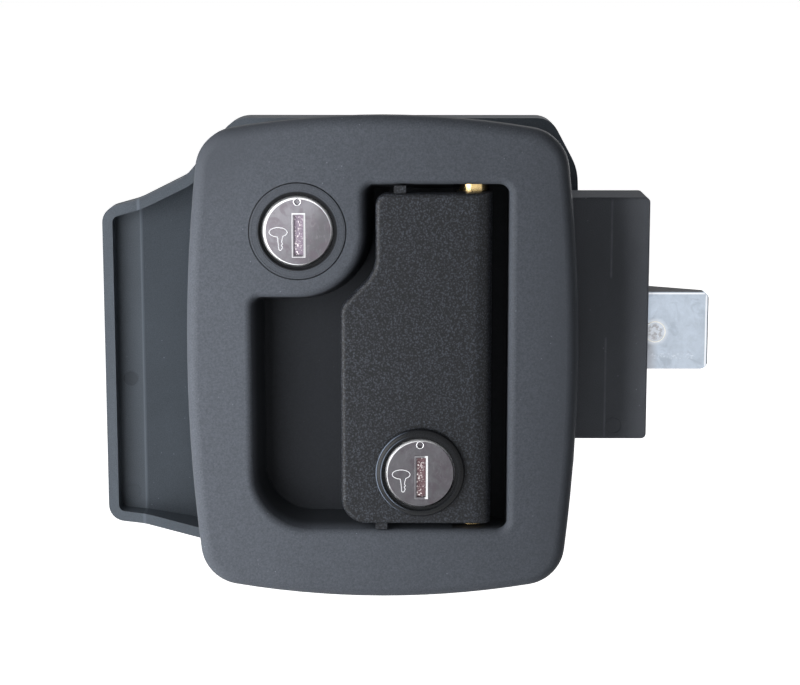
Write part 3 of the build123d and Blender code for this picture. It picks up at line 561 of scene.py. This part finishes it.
class LATCH_OT_handle(bpy.types.Operator):
    """Finish the pull handle, its pin and its bushes"""

    bl_idname = "latch.handle"
    bl_label = "Pull handle"

    def execute(self, context):
        black = grained(
            "handle grain", colours().handle, roughness=0.42, grain=sizes().grain, depth=0.08 * MM)
        brass = plated("turned brass", colours().brass, roughness=0.22, mottle=0.12)
        steel = plated("pin steel", colours().steel, roughness=0.3, mottle=0.12)
        dress(black, "pull_handle")
        dress(brass, "pin_bushes")
        dress(steel, "handle_pin", "lever_pin")
        return {"FINISHED"}


class LATCH_OT_locks(bpy.types.Operator):
    """Finish both locks and add the raised symbols on their faces"""

    bl_idname = "latch.locks"
    bl_label = "Locks"

    # Colour of the painted highlights on the lock rims and slot frames
    bright = (0.93, 0.94, 0.96)

    # Places in millimetres from the middle of the plug. The symbol is a key seen from the side
    bow_middle, bow_half, bow_angles = (-4.66, -0.2), (2.3, 1.25), (-97, -418)
    blade = (
        (-3.6, -1.8), (-3.75, -2.6), (-3.5, -3.1), (-3.8, -3.4), (-3.55, -3.9), (-3.8, -4.5),
        (-4.2, -4.8), (-4.6, -4.5), (-4.7, -3.4), (-4.82, -2.2),
    )
    index_up, index_radius, index_thickness = 7.2, 0.85, 0.09
    slot_middle, slot_half = (0.3, -1.05), (1.5, 5.25)
    collar_arcs = (9.7, 10.85)

    def key_outline(self):
        """The bow is an oval that is open towards the blade."""
        steps = 16
        first, last = self.bow_angles
        bow = []
        for step in range(steps + 1):
            angle = math.radians(first + (last - first) * step / steps)
            bow.append((
                self.bow_middle[0] + self.bow_half[0] * math.cos(angle),
                self.bow_middle[1] + self.bow_half[1] * math.sin(angle),
            ))
        return (*bow, *self.blade)

    def face(self, name, node, tint, pale, rim_width):
        """Tinted, mottled plating, painted paler at the upper left and with painted shade at the
        right, and painted highlights on the turned rim and on the raised frame of the slot.
        """
        centre, front = middle(node), low(node).y
        face = plated(
            name, tint, roughness=0.34, mottle=0.35, grain=0.35 * MM, depth=0.012 * MM,
            cloud_size=1.9 * MM)
        across, up = face.axis("X") - centre.x, face.axis("Z") - centre.z
        # Painted light: paler towards the upper left and painted shade towards the right, both as
        # strong as pale
        face.paint(shade(tint, 1.5), face.ramp(across - up, -6 * MM, 5 * MM, pale, 0.0))
        face.paint(shade(tint, 0.62), face.ramp(across - 0.4 * up, 1.5 * MM, 6 * MM, 0.0, pale))
        dark_patch = face.ramp(face.noise(3.4 * MM, 3.0, 0.6, warp=1.0), 0.4, 0.68)
        face.paint((tint[0] * 0.74, tint[1] * 0.6, tint[2] * 0.67), dark_patch * 0.5)
        smear = face.noise(1.1 * MM, 4.0, 0.7, stretch=(1, 1, 1.8), warp=0.8)
        face.paint(shade(tint, 1.7), face.ramp(smear, 0.5, 0.75) * 0.35)
        # The rim carries a painted highlight, brighter at its left than at its right
        outer = high(node).x - centre.x
        reach = face.radius(centre.x + 0.22 * MM, centre.z - 0.12 * MM)
        rim = face.ramp(reach, outer - rim_width, outer - rim_width + 0.12 * MM)
        face.paint(self.bright, rim * face.ramp(across - up, 9.3 * MM, 11.6 * MM, 1.0, 0.1))
        # A painted highlight also lies on the frame of the slot, along its outer edge or along its
        # right side
        raised = face.axis("Y") < front + 0.12 * MM
        edges = []
        for value, place, half in zip((across, up), self.slot_middle, self.slot_half):
            away = abs(value - place * MM)
            edges.append(face.ramp(away, (half - 0.08) * MM, half * MM))
        outline = edges[0].most(edges[1])
        side = face.ramp(across, 0.9 * MM, 1.5 * MM)
        face.paint(self.bright, raised * (outline * pale).most(side * (1.0 - pale)))
        return face

    def leaf(self, name, node, tint):
        """Shutter with painted glints, strongest along its left side."""
        leaf = plated(name, tint, roughness=0.35, mottle=0.5, grain=0.3 * MM, depth=0.1 * MM)
        # Painted glints, strongest at the left
        glint = leaf.ramp(leaf.noise(0.5 * MM, 2.0, 0.7), 0.52, 0.68)
        centre = middle(node).x
        left = leaf.ramp(leaf.axis("X"), centre - 0.5 * MM, centre + 0.7 * MM, 0.9, 0.35)
        leaf.paint((0.9, 0.84, 0.84), glint * left)
        return leaf

    def collar(self):
        """Dark body of the lower lock, with two highlights painted at its left."""
        collar = moulded(
            "collar gloss", colours().collar, roughness=0.28, grain=0.2 * MM, depth=0.003 * MM,
            streak=0.1, specular=0.16, dust=0.2)
        centre = middle("handle_lock_plug")
        reach = collar.radius(centre.x, centre.z)
        left = collar.ramp(collar.axis("X") - centre.x, -9 * MM, -2 * MM, 0.8, 0.0)
        for radius in self.collar_arcs:
            arc = collar.ramp(abs(reach - radius * MM), 0.05 * MM, 0.14 * MM, 1.0, 0.0)
            collar.paint((0.2, 0.24, 0.31), arc * left)
        return collar

    def ring(self):
        """Satin body of the upper lock, dark inside, with painted shade of the groove along its
        outer edge.
        """
        ring = moulded(
            "ring satin", shade(colours().bezel, 0.86), roughness=0.5, grain=0.3 * MM,
            depth=0.02 * MM, streak=0.2, specular=0.14)
        centre = middle("deadbolt_lock_plug")
        reach = ring.radius(centre.x, centre.z)
        ring.paint(shade(colours().collar, 0.8), ring.ramp(reach, 9.55 * MM, 9.9 * MM, 1.0, 0.0))
        # Painted shade of the groove along the outer edge
        ring.paint(shade(colours().collar, 1.2), ring.ramp(reach, 11.6 * MM, 11.75 * MM, 0.0, 0.8))
        return ring

    def symbols(self, plug, body, name, finish):
        """The raised key and the index ring above it, on the face of a plug."""
        centre, seat = middle(plug), low(plug).y + 0.2 * MM
        art = bmesh.new()
        outline_band(
            art, self.key_outline(), sizes().symbol_line / MM, sizes().symbol_height / MM,
            facing_front(centre.x, seat, centre.z))
        bead(art, self.index_radius, self.index_thickness,
             facing_front(centre.x, seat, centre.z + self.index_up * MM), 24)
        piece(name, art, finish, body)

    def beads(self, sleeve, centre, body, rings, finish):
        """Fine beads round the front of a sleeve: their radii and thicknesses in mm."""
        turned = bmesh.new()
        for radius, thickness in rings:
            edge = max(low(sleeve).y, cad_bounds[0][1] + thickness * MM)
            bead(turned, radius, thickness, facing_front(centre.x, edge, centre.z), 72)
        piece(sleeve + "_beads", turned, finish, body)

    def execute(self, context):
        line = plated("symbol line", (0.88, 0.89, 0.92), roughness=0.25, mottle=0.1)
        collar, ring = self.collar(), self.ring()
        dress(collar, "handle_lock_sleeve")
        dress(ring, "deadbolt_lock_sleeve")
        steel = plated("lock steel", colours().steel, roughness=0.32, mottle=0.15)
        dress(
            steel, "handle_lock_clip", "deadbolt_lock_clip", "handle_lock_cam",
            "deadbolt_tailpiece")
        # Each lock: its body, the tone of its face, darker on the lower lock as painted shade, how
        # much painted light makes the face paler at the upper left, its rim's width in mm, its
        # shutter's tint, its collar's finish and the beads on that
        for lock, body, tone, pale, rim, blush, finish, sleeve_body, rings in (
            ("handle_lock", "handle_key_turn", 0.54, 0.15, 0.45, (1.1, 0.72, 0.72), collar,
             "handle", ((9.7, 0.1),)),
            ("deadbolt_lock", "deadbolt_turn", 0.84, 0.7, 0.72, (1.1, 0.94, 1.08), ring,
             "housing", ((11.3, 0.07), (10.1, 0.07))),
        ):
            plug, shutter = lock + "_plug", lock + "_shutter"
            tint = shade(colours().plug, tone)
            dress(self.face(lock + " face", plug, tint, pale, rim * MM), plug)
            blush = tuple(channel * part for channel, part in zip(tint, blush))
            dress(self.leaf(lock + " leaf", shutter, blush), shutter)
            self.symbols(plug, body, lock + "_symbols", line)
            self.beads(lock + "_sleeve", middle(plug), sleeve_body, rings, finish)
        return {"FINISHED"}


class LATCH_OT_case(bpy.types.Operator):
    """Finish the latch case and its cover and add the ejector mark"""

    bl_idname = "latch.case"
    bl_label = "Latch case"

    # Witness lines of the mould: their X, and the Z where each starts and ends, in millimetres
    lines = ((57.6, 18.9, 37.6), (56.5, -22.2, 2.4))
    line_half = 0.12
    ejector_mark = (58.7, -19.9)

    def execute(self, context):
        black = moulded(
            "case satin", colours().case, roughness=0.72, grain=0.2 * MM, depth=0.012 * MM,
            streak=0.5, specular=0.04)
        pale = shade(colours().case, 2.0)
        for x, start, end in self.lines:
            line = black.band(
                "X", (x - self.line_half) * MM, (x + self.line_half) * MM, 0.25 * MM)
            stretch = black.band("Z", start * MM, end * MM, MM)
            patchy = black.ramp(black.noise(2.2 * MM, 3.0, 0.6), 0.3, 0.7, 0.5, 1.0)
            black.paint(pale, line * stretch * patchy * 0.55)
        dress(black, "latch_case", "case_cover")
        marks = bmesh.new()
        x, z = self.ejector_mark
        at_mark = facing_front(x * MM, low("latch_case").y, z * MM)
        bead(marks, sizes().mark_radius / MM, 0.09, at_mark)
        piece("case_ejector_mark", marks, black, "housing")
        return {"FINISHED"}


class LATCH_OT_bolts(bpy.types.Operator):
    """Finish both bolts and the crank and add the cast mark of the latch bolt"""

    bl_idname = "latch.bolts"
    bl_label = "Bolts"

    # The spring's wire radius, turns and travel, and the X and Z of the mark, in millimetres
    wire, turns, stroke = 0.5, 7, 15.234
    mark = (69.3, 4.0)

    def spring(self, finish):
        """Coils the return spring anew, on a mesh of its own."""
        start, end = low("latch_spring"), high("latch_spring")
        centre = middle("latch_spring")
        whole = (end.x - start.x) / MM
        coil_radius = (end.z - start.z) / MM / 2 - self.wire
        coil = bmesh.new()
        bmesh.ops.create_circle(
            coil, cap_ends=True, radius=self.wire, segments=10,
            matrix=Matrix.Translation((coil_radius, 0, 0))
            @ Matrix.Rotation(math.radians(90), 4, "X")
        )
        section = coil.verts[:] + coil.edges[:] + coil.faces[:]
        wind(coil, section, self.turns, (whole - 2 * self.wire) / self.turns, 32)
        along = (
            Matrix.Translation((start.x + self.wire * MM, centre.y, centre.z))
            @ Matrix.Rotation(math.radians(90), 4, "Y") @ Matrix.Scale(MM, 4)
        )
        bmesh.ops.transform(coil, matrix=along, verts=coil.verts)
        item = piece("return_spring", coil, finish, "housing", ("latch_spring",))
        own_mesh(item)

    def cast(self):
        """Cast zinc, with the marks of use that the latch bolt has on its front, and painted
        highlights and painted shade along its edges.
        """
        near, far = low("latch_bolt"), high("latch_bolt")
        zinc = plated(
            "cast zinc", colours().zinc, roughness=0.45, mottle=0.5, grain=0.5 * MM,
            depth=0.03 * MM, cloud_size=3.4 * MM)
        rub = zinc.ramp(zinc.noise(5 * MM, 4.0, 0.65, warp=1.2), 0.5, 0.7)
        zinc.paint(shade(colours().zinc, 0.78), rub * 0.5)
        # A darker brownish patch next to the case, and scratches lower down
        dark_patch = zinc.band("X", 58 * MM, 67.6 * MM, 3 * MM)
        dark_patch = dark_patch * zinc.band("Z", -5 * MM, 4 * MM, 2.4 * MM)
        zinc.paint((0.27, 0.255, 0.26), dark_patch * 0.55)
        scratch = zinc.band("X", 69 * MM, 79 * MM, MM)
        scratch = scratch * zinc.band("Z", -2.8 * MM, -1.8 * MM, 0.4 * MM)
        glint = zinc.ramp(zinc.noise(0.6 * MM, 2.0, 0.7), 0.5, 0.66)
        zinc.paint((0.85, 0.88, 0.93), scratch * glint * 0.35)
        # The round mark: a pale patch, rough metal within and a bright ring
        front = zinc.axis("Y") < near.y + 0.1 * MM
        reach = zinc.radius(self.mark[0] * MM, self.mark[1] * MM)
        patch = zinc.ramp(reach, 2.7 * MM, 3.8 * MM, 0.6, 0.0)
        zinc.paint((0.68, 0.71, 0.76), patch * front)
        rough = zinc.ramp(zinc.noise(0.7 * MM, 3.0, 0.7), 0.42, 0.6)
        within = zinc.ramp(reach, 1.6 * MM, 2.5 * MM, 0.75, 0.0)
        zinc.paint((0.3, 0.29, 0.3), within * rough * front)
        halo = zinc.ramp(abs(reach - 2.6 * MM), 0.1 * MM, 0.2 * MM, 1.0, 0.0)
        zinc.paint((0.86, 0.85, 0.8), halo * front)
        # Painted highlights along the upper and right edges
        upper = zinc.band("Z", 13.75 * MM, 14.05 * MM, 0.1 * MM)
        right = zinc.band("X", 82.1 * MM, 82.4 * MM, 0.12 * MM)
        right = right * zinc.band("Z", -5 * MM, 14 * MM, 0.5 * MM)
        zinc.paint((0.92, 0.94, 0.97), upper.most(right * 0.8) * front)
        # Painted shade on the rounded edges at its right and foot and on the edge of its top
        right = zinc.ramp(zinc.axis("X"), far.x - 0.35 * MM, far.x - 0.25 * MM)
        under = zinc.ramp(zinc.axis("Z"), near.z + 0.1 * MM, near.z + 0.2 * MM, 1.0, 0.0)
        edge = zinc.axis("Y") < near.y + 1.5 * MM
        zinc.paint((0.1, 0.1, 0.11), right.most(under * 0.7) * edge)
        # The top's edge gets painted shade, and is made rough and not metal
        top = zinc.band("Z", 14.28 * MM, 14.6 * MM, 0.08 * MM)
        zinc.paint((0.06, 0.06, 0.065), top)
        zinc.set(Metallic=1.0 - top, Roughness=0.4 + 0.16 * rub + 0.42 * top)
        return zinc

    def execute(self, context):
        zinc = self.cast()
        dress(zinc, "latch_bolt", "deadbolt", "deadbolt_crank")
        self.spring(plated("spring wire", colours().steel, roughness=0.25, mottle=0.08))
        marks = bmesh.new()
        x, z = self.mark
        at_mark = facing_front(x * MM, low("latch_bolt").y, z * MM)
        bead(marks, sizes().bolt_mark_radius / MM, 0.14, at_mark)
        piece("bolt_cast_mark", marks, zinc, "bolt")
        return {"FINISHED"}


class LATCH_OT_inside(bpy.types.Operator):
    """Finish the inside plate, its lever and the thumb turn and add the ejector marks"""

    bl_idname = "latch.inside"
    bl_label = "Inside plate"

    # Ejector marks on the hidden side of the wing: X and Z in millimetres, and how dark each is
    marks = ((-68.7, -13.8, 0.6), (-68.7, -45.2, 0.15))
    # The wing's hidden side, and where the painted highlight on its ridge starts and ends
    web, ridge = 43.7, (-65.3, -64.9)

    def execute(self, context):
        colour = colours().interior
        black = moulded(
            "inside satin", colour, roughness=0.62, grain=0.24 * MM, depth=0.016 * MM,
            streak=0.35, specular=0.14)
        behind = black.axis("Y") < (self.web + 0.3) * MM
        ring = bmesh.new()
        radius = sizes().mark_radius
        for x, z, dark in self.marks:
            disc = black.ramp(black.radius(x * MM, z * MM), radius - 0.2 * MM, radius, 1.0, 0.0)
            black.paint(shade(colour, 0.6), disc * behind * dark)
            bead(ring, radius / MM, 0.08, facing_front(x * MM, self.web * MM, z * MM))
        # Painted highlight along the ridge of the wing
        ridge = black.band("X", self.ridge[0] * MM, self.ridge[1] * MM, 0.35 * MM)
        black.paint(shade(colour, 1.7), ridge * behind * 0.7)
        dress(black, "interior_plate", "interior_lever", "thumb_turn")
        steel = plated("clip steel", colours().steel, roughness=0.32, mottle=0.15)
        dress(steel, "thumb_turn_clip")
        piece("plate_ejector_marks", ring, black, "housing")
        return {"FINISHED"}


class LATCH_OT_screws(bpy.types.Operator):
    """Model the screws with cross recesses and threads"""

    bl_idname = "latch.screws"
    bl_label = "Screws"

    # Head radius and height, shank radius and threaded length, in millimetres
    kinds = {
        "mounting_screws": (3.8, 2.6, 1.9, 18.0),
        "case_screws": (2.8, 1.8, 1.45, 12.5),
        "cover_screws": (2.5, 1.7, 1.2, 9.8),
        "cam_screw": (3.6, 1.4, 1.3, 4.4),
    }

    def centres(self, node):
        """Middle of each separate screw of a CAD node, from its mesh islands."""
        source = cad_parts[node]
        group = bmesh.new()
        group.from_mesh(source.data)
        bmesh.ops.remove_doubles(group, verts=group.verts, dist=0.001 * MM)
        left = set(group.verts)
        found = []
        while left:
            island, edge = set(), [left.pop()]
            while edge:
                vert = edge.pop()
                island.add(vert)
                for link in vert.link_edges:
                    other = link.other_vert(vert)
                    if other in left:
                        left.discard(other)
                        edge.append(other)
            xs, zs = [v.co.x for v in island], [v.co.z for v in island]
            found.append(((min(xs) + max(xs)) / 2, (min(zs) + max(zs)) / 2))
        group.free()
        return sorted(found)

    def execute(self, context):
        steel = plated("screw steel", colours().steel, roughness=0.3, mottle=0.2)
        for node, (head, height, shank, threaded) in self.kinds.items():
            body = "handle_key_turn" if node == "cam_screw" else "housing"
            seat = high(node).y - height * MM
            length = (seat - low(node).y) / MM
            group = bmesh.new()
            for x, z in self.centres(node):
                screw(group, head, height, shank, length, threaded, sizes().thread_pitch / MM,
                      facing_back(x, seat, z))
            piece(node + "_detailed", group, steel, body, (node,))
        return {"FINISHED"}


class LATCH_OT_stage(bpy.types.Operator):
    """Set up the floor, the world, the lamps and the camera"""

    bl_idname = "latch.stage"
    bl_label = "Stage"

    # Share of the world's white that lights the lock, and how much of it the floor sends back
    sky_light, floor_tone = 0.08, 0.9
    # Place, aim and size in metres, and power in watts
    lamps = {
        "key lamp": ((-0.25, -0.125, -0.005), (-0.18, 0.05, 0), 0.34, 2.1),
        "front lamp": ((0.05, -0.9, 0.12), (0, 0, 0), 0.5, 0.25),
        "back lamp": ((0.55, 0.75, 0.12), (0, 0, 0), 0.6, 3.6),
    }

    def execute(self, context):
        scene = context.scene
        scene.view_settings.view_transform = "Standard"
        self.floor()
        self.world(scene)
        for name, (place, aim, size, power) in self.lamps.items():
            self.lamp(scene, name, place, aim, size, power)
        self.camera(scene)
        return {"FINISHED"}

    def white_rays(self, tree):
        """1 for rays that show the background itself: camera, glossy and transmission rays."""
        path = tree.nodes.new("ShaderNodeLightPath")
        seen = path.outputs["Is Camera Ray"]
        for name in ("Is Glossy Ray", "Is Transmission Ray"):
            either = tree.nodes.new("ShaderNodeMath")
            either.operation = "MAXIMUM"
            tree.links.new(seen, either.inputs[0])
            tree.links.new(path.outputs[name], either.inputs[1])
            seen = either.outputs[0]
        return seen

    def floor(self):
        """A white floor that keeps the shadow and meets the world without a horizon."""
        ground = bmesh.new()
        bmesh.ops.create_grid(ground, x_segments=1, y_segments=1, size=12.0)
        bmesh.ops.translate(ground, verts=ground.verts, vec=(0, 0, cad_bounds[0][2] - 0.065))
        mesh = bpy.data.meshes.new("floor")
        ground.to_mesh(mesh)
        ground.free()
        finish = Finish("pale floor")
        white = (self.floor_tone, self.floor_tone, self.floor_tone, 1)
        finish.set(Base_Color=white, Roughness=0.9, Specular_IOR_Level=0.1)
        tree = finish.tree
        glow = tree.nodes.new("ShaderNodeEmission")
        glow.inputs["Strength"].default_value = 1.02 - self.floor_tone * self.sky_light
        both = tree.nodes.new("ShaderNodeAddShader")
        tree.links.new(finish.shader.outputs[0], both.inputs[0])
        tree.links.new(glow.outputs[0], both.inputs[1])
        mix = tree.nodes.new("ShaderNodeMixShader")
        tree.links.new(self.white_rays(tree), mix.inputs[0])
        tree.links.new(finish.shader.outputs[0], mix.inputs[1])
        tree.links.new(both.outputs[0], mix.inputs[2])
        tree.links.new(mix.outputs[0], tree.nodes["Material Output"].inputs["Surface"])
        mesh.materials.append(finish.material)
        floor = bpy.data.objects.new("floor", mesh)
        bpy.context.scene.collection.objects.link(floor)

    def world(self, scene):
        world = bpy.data.worlds.new("soft daylight")
        world.use_nodes = True
        scene.world = world
        tree = world.node_tree
        sky = tree.nodes["Background"]
        level = tree.nodes.new("ShaderNodeMapRange")
        level.inputs["To Min"].default_value = self.sky_light
        level.inputs["To Max"].default_value = 1.0
        tree.links.new(self.white_rays(tree), level.inputs["Value"])
        tree.links.new(level.outputs[0], sky.inputs["Strength"])
        sky.inputs["Color"].default_value = (1, 1, 1, 1)

    def lamp(self, scene, name, place, aim, size, power):
        light = bpy.data.lights.new(name, "AREA")
        light.shape, light.size, light.energy = "SQUARE", size, power
        lamp = bpy.data.objects.new(name, light)
        lamp.location = place
        lamp.visible_camera = False
        lamp.rotation_euler = (Vector(aim) - Vector(place)).to_track_quat("-Z", "Y").to_euler()
        scene.collection.objects.link(lamp)

    def camera(self, scene):
        lens = bpy.data.cameras.new("camera")
        lens.sensor_width = 36.0
        lens.lens = 95.8
        camera = bpy.data.objects.new("camera", lens)
        camera.location = (7.805 * MM, -521.25 * MM, 94.905 * MM)
        camera.rotation_euler = (math.radians(80.083), 0, math.radians(0.385))
        scene.collection.objects.link(camera)
        scene.camera = camera


class LATCH_PT_panel(bpy.types.Panel):
    """Sizes, colours and pieces of the door latch"""

    bl_idname = "LATCH_PT_panel"
    bl_label = "Door latch"
    bl_space_type = "VIEW_3D"
    bl_region_type = "UI"
    bl_category = "Door latch"

    def draw(self, context):
        for group in (context.scene.latch_sizes, context.scene.latch_colours):
            box = self.layout.box()
            for name in group.__annotations__:
                box.prop(group, name)
        for step in steps:
            self.layout.operator(step.bl_idname)


steps = (
    LATCH_OT_bezel,
    LATCH_OT_handle,
    LATCH_OT_locks,
    LATCH_OT_case,
    LATCH_OT_bolts,
    LATCH_OT_inside,
    LATCH_OT_screws,
    LATCH_OT_stage,
)
classes = (LatchSizes, LatchColours, *steps, LATCH_PT_panel)


def register():
    for each in classes:
        bpy.utils.register_class(each)
    bpy.types.Scene.latch_sizes = bpy.props.PointerProperty(type=LatchSizes)
    bpy.types.Scene.latch_colours = bpy.props.PointerProperty(type=LatchColours)


def unregister():
    del bpy.types.Scene.latch_colours
    del bpy.types.Scene.latch_sizes
    for each in reversed(classes):
        bpy.utils.unregister_class(each)


def main():
    register()
    for step in steps:
        group, name = step.bl_idname.split(".")
        getattr(getattr(bpy.ops, group), name)()


if __name__ == "__main__":
    main()
